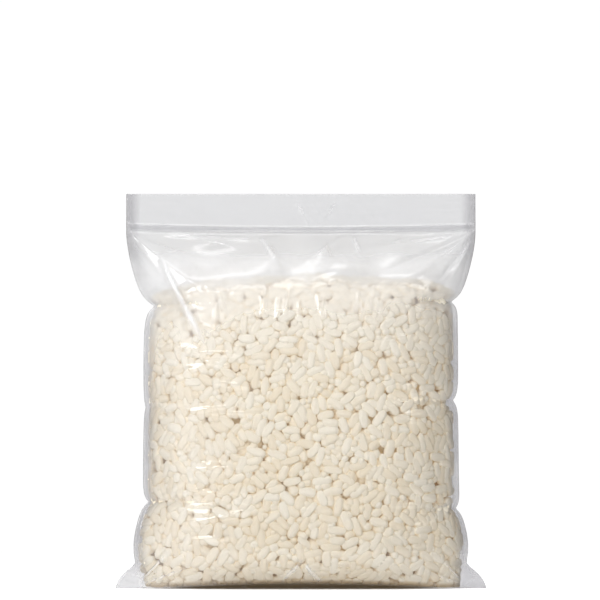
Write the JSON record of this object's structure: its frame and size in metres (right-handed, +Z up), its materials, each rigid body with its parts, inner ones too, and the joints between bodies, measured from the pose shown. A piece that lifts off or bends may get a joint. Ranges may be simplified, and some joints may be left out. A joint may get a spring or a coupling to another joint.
{
  "type": "bag of rice",
  "caption": "Shut clear press-to-close bag filled with rice, standing upright on its flat foot.",
  "frame": {"origin": "on the standing surface, under the middle of the bag", "axes": "+Z up, the zip runs along X, the front of the bag faces -Y"},
  "size_m": [0.127, 0.0394, 0.136],
  "materials": {
    "filled_bag": "glossy film over pale rice",
    "film": "clear glossy polyethylene film",
    "zip": "clear moulded polyethylene",
    "rice": "satin, slightly translucent raw rice"
  },
  "bodies": {
    "root": {"bag": "filled_bag"}
  },
  "joints": []
}
